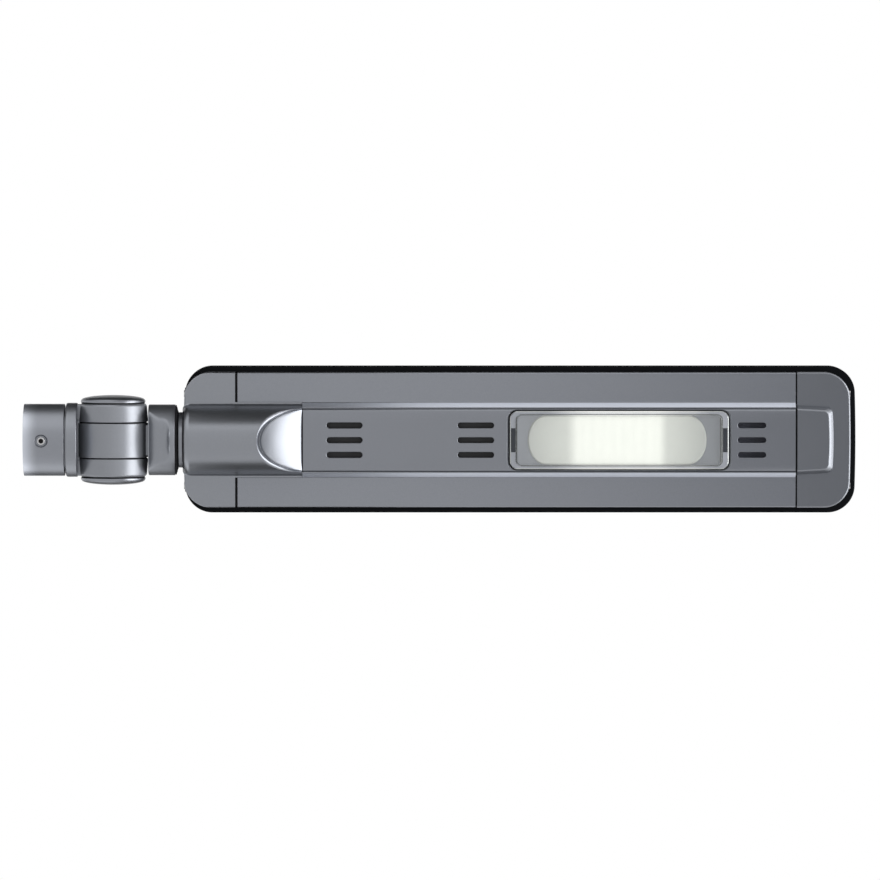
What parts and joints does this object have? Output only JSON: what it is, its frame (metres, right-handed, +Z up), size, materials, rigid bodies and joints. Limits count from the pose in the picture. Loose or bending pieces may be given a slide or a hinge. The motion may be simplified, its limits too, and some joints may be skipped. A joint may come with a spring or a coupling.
{
  "type": "solar street lamp",
  "caption": "Slim solar street lamp head with a panel on top, an LED window and vent slots below, and a pole sleeve on a tilting and turning knuckle.",
  "frame": {"origin": "centre of the pole sleeve's open mouth", "axes": "+X out along the lamp from the pole, +Y to the left seen from the pole, +Z up, with the light shining down"},
  "size_m": [0.8325, 0.147, 0.074],
  "materials": {
    "silver_paint": "satin",
    "cast_silver": "satin",
    "zinc_steel": "satin",
    "bronze": "satin",
    "black_rubber": "matte",
    "black_plastic": "satin",
    "clear_plastic": "gloss",
    "opal_plastic": "satin",
    "white_board": "satin",
    "bare_aluminium": "satin",
    "solar_glass": "gloss",
    "solar_cells": "gloss",
    "battery_wrap": "satin",
    "green_board": "satin",
    "red_lead": "satin"
  },
  "bodies": {
    "pole_bracket": {"pole_sleeve": "silver_paint", "sleeve_screw_top": "zinc_steel", "sleeve_screw_bottom": "zinc_steel", "hinge_fork": "cast_silver", "hinge_bolt": "zinc_steel", "hinge_nut": "zinc_steel", "friction_washer_left": "zinc_steel", "friction_washer_right": "zinc_steel", "hinge_cap_left": "cast_silver", "hinge_cap_right": "cast_silver"},
    "tilt_neck": {"hinge_neck": "cast_silver", "hinge_bush": "bronze", "swivel_seal": "black_rubber", "pivot_washer": "zinc_steel", "pivot_nut": "zinc_steel"},
    "lamp_head": {"arm_socket": "cast_silver", "body_profile": "silver_paint", "front_cap": "cast_silver", "rear_gasket_left": "black_rubber", "rear_gasket_right": "black_rubber", "front_gasket": "black_rubber", "cover_strip": "silver_paint", "lens_cover": "clear_plastic", "lens_gasket": "black_rubber", "lens_clip_rear": "black_plastic", "lens_clip_front": "black_plastic", "lamp_tray": "silver_paint", "light_diffuser": "opal_plastic", "led_board": "white_board", "heat_spreader": "bare_aluminium", "panel_frame": "black_plastic", "panel_glass": "solar_glass", "cell_sheet": "solar_cells", "junction_box": "black_plastic", "battery_pack": "battery_wrap", "battery_strap_1": "zinc_steel", "battery_strap_2": "zinc_steel", "controller_board": "green_board", "battery_lead": "red_lead", "panel_lead": "red_lead", "led_lead": "red_lead", "rear_screw_left": "zinc_steel", "rear_screw_right": "zinc_steel", "front_screw_left": "zinc_steel", "front_screw_right": "zinc_steel", "frame_screw_1": "zinc_steel", "frame_screw_2": "zinc_steel", "frame_screw_3": "zinc_steel", "frame_screw_4": "zinc_steel", "frame_screw_5": "zinc_steel", "frame_screw_6": "zinc_steel"}
  },
  "joints": [
    {"name": "head_tilt", "type": "hinge", "parent": "pole_bracket", "child": "tilt_neck", "pos_m": [0.089, 0, 0], "axis": [0, 1, 0], "range_deg": [-90, 90]},
    {"name": "head_roll", "type": "hinge", "parent": "tilt_neck", "child": "lamp_head", "pos_m": [0.152, 0, 0], "axis": [1, 0, 0], "range_deg": [-90, 90]}
  ]
}
